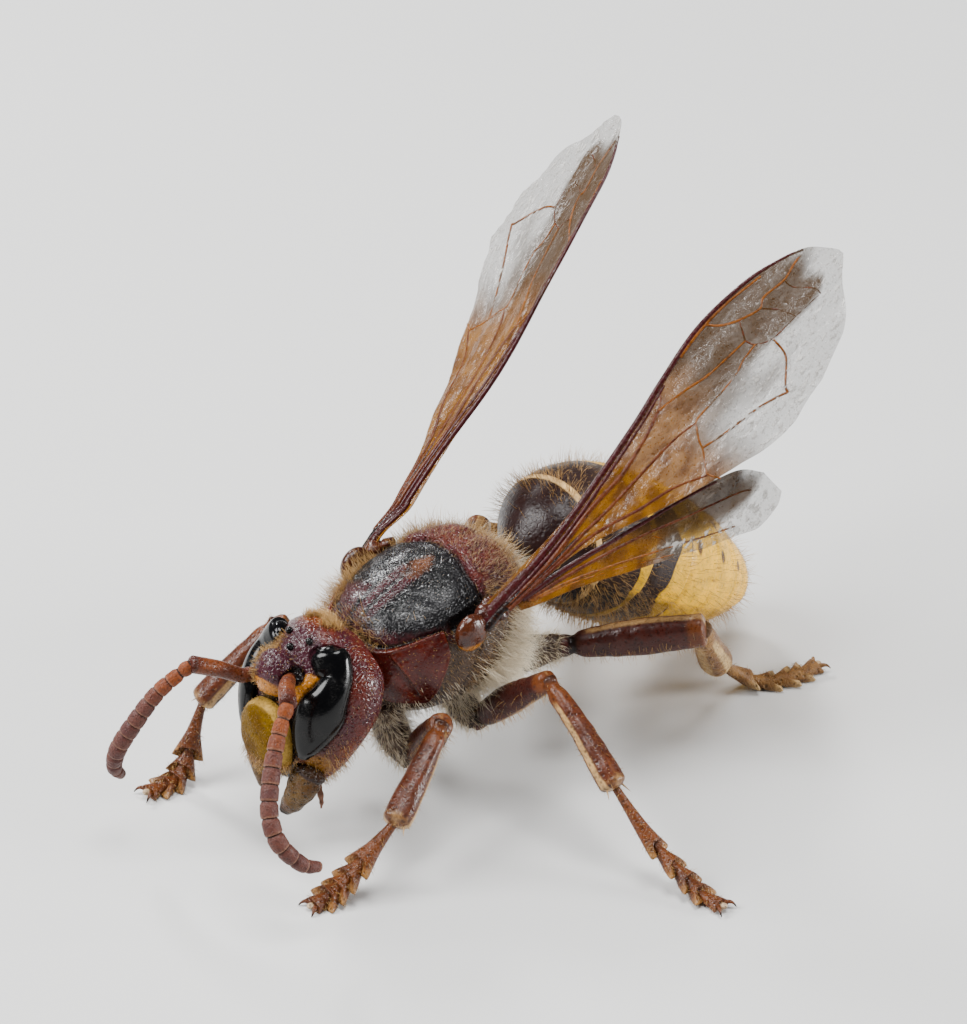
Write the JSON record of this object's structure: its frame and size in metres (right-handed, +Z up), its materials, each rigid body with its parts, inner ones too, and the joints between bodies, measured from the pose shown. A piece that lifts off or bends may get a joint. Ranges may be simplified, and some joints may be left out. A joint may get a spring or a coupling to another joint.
{
  "type": "european hornet model",
  "caption": "Still life-size figure of a standing hornet drone with raised wings, long feelers, a drooping banded abdomen and bristly fur.",
  "frame": {"origin": "on the floor under the middle of the bounding box of the whole insect", "axes": "+Z up, the head towards -Y and the end of the abdomen towards +Y, the animal's left side towards +X"},
  "size_m": [0.0252, 0.0326, 0.0234],
  "materials": {
    "amber_horn": "amber brown horn",
    "band_yellow": "yellow with dark wavy bands and dots, and pale bristles",
    "eye_black": "glossy black",
    "face_yellow": "olive yellow with a pale rim and short bristles",
    "gaster_brown": "grey-brown with a narrow yellow band",
    "limb_brown": "red-brown horn with paler edges and short bristles",
    "plate_maroon": "dark red-brown pitted body shell with a soft sheen and short fur",
    "scutum_black": "black leathery shell with red-brown stripes and a golden fringe",
    "wing_membrane": "amber see-through membrane, clear and wrinkled at the tips"
  },
  "bodies": {
    "root": {"clypeus": "face_yellow", "coxa_fore_left": "limb_brown", "coxa_fore_right": "limb_brown", "coxa_hind_left": "limb_brown", "coxa_hind_right": "limb_brown", "coxa_mid_left": "limb_brown", "coxa_mid_right": "limb_brown", "eye_left": "eye_black", "eye_right": "eye_black", "femur_fore_left": "limb_brown", "femur_fore_right": "limb_brown", "femur_hind_left": "limb_brown", "femur_hind_right": "limb_brown", "femur_mid_left": "limb_brown", "femur_mid_right": "limb_brown", "flagellum_low_left": "limb_brown", "flagellum_low_right": "limb_brown", "flagellum_tip_left": "limb_brown", "flagellum_tip_right": "limb_brown", "forewing_left": "wing_membrane", "forewing_right": "wing_membrane", "gaster_1": "plate_maroon", "gaster_2": "gaster_brown", "gaster_3": "band_yellow", "gaster_4": "band_yellow", "gaster_5": "band_yellow", "gaster_6": "band_yellow", "gaster_7": "band_yellow", "head": "plate_maroon", "hindwing_left": "wing_membrane", "hindwing_right": "wing_membrane", "mandible_left": "face_yellow", "mandible_right": "face_yellow", "mesothorax": "scutum_black", "pronotum": "plate_maroon", "propodeum": "plate_maroon", "scape_left": "amber_horn", "scape_right": "amber_horn", "scutellum": "plate_maroon", "tarsus_fore_left": "limb_brown", "tarsus_fore_right": "limb_brown", "tarsus_hind_left": "limb_brown", "tarsus_hind_right": "limb_brown", "tarsus_mid_left": "limb_brown", "tarsus_mid_right": "limb_brown", "tegula_left": "amber_horn", "tegula_right": "amber_horn", "tibia_fore_left": "limb_brown", "tibia_fore_right": "limb_brown", "tibia_hind_left": "limb_brown", "tibia_hind_right": "limb_brown", "tibia_mid_left": "limb_brown", "tibia_mid_right": "limb_brown"}
  },
  "joints": []
}
